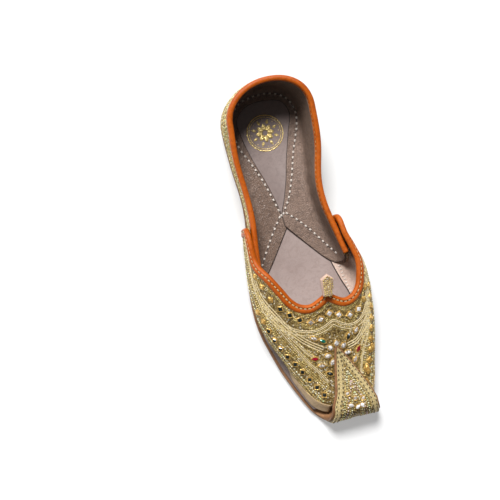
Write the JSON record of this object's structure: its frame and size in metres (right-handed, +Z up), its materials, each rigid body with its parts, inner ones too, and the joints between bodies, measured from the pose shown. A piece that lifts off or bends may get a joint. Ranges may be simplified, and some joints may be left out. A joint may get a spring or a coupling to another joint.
{
  "type": "mojari shoe",
  "caption": "Right-foot slip-on mojari with a folded pointed toe, scalloped throat, low open heel counter and a flat leather sole.",
  "frame": {"origin": "on the floor, on the sole's underside at the middle of the heel seat", "axes": "+Y towards the back of the heel, -Y towards the toe, +X towards the inner side of the foot, +Z up"},
  "size_m": [0.0851, 0.2496, 0.0528],
  "materials": {
    "tan_leather": "matt, waxed",
    "umber_leather": "satin, rolled edge",
    "taupe_leather": "soft, grained",
    "gold_embroidery": "leather under metal thread, beads and set stones",
    "orange_leather": "satin"
  },
  "bodies": {
    "root": {"outsole": "tan_leather", "midsole": "umber_leather", "insole": "taupe_leather", "upper_quarter": "gold_embroidery", "upper_vamp": "gold_embroidery", "quarter_binding": "orange_leather", "vamp_binding": "orange_leather", "toe_cover": "gold_embroidery", "throat_tab": "gold_embroidery"}
  },
  "joints": []
}
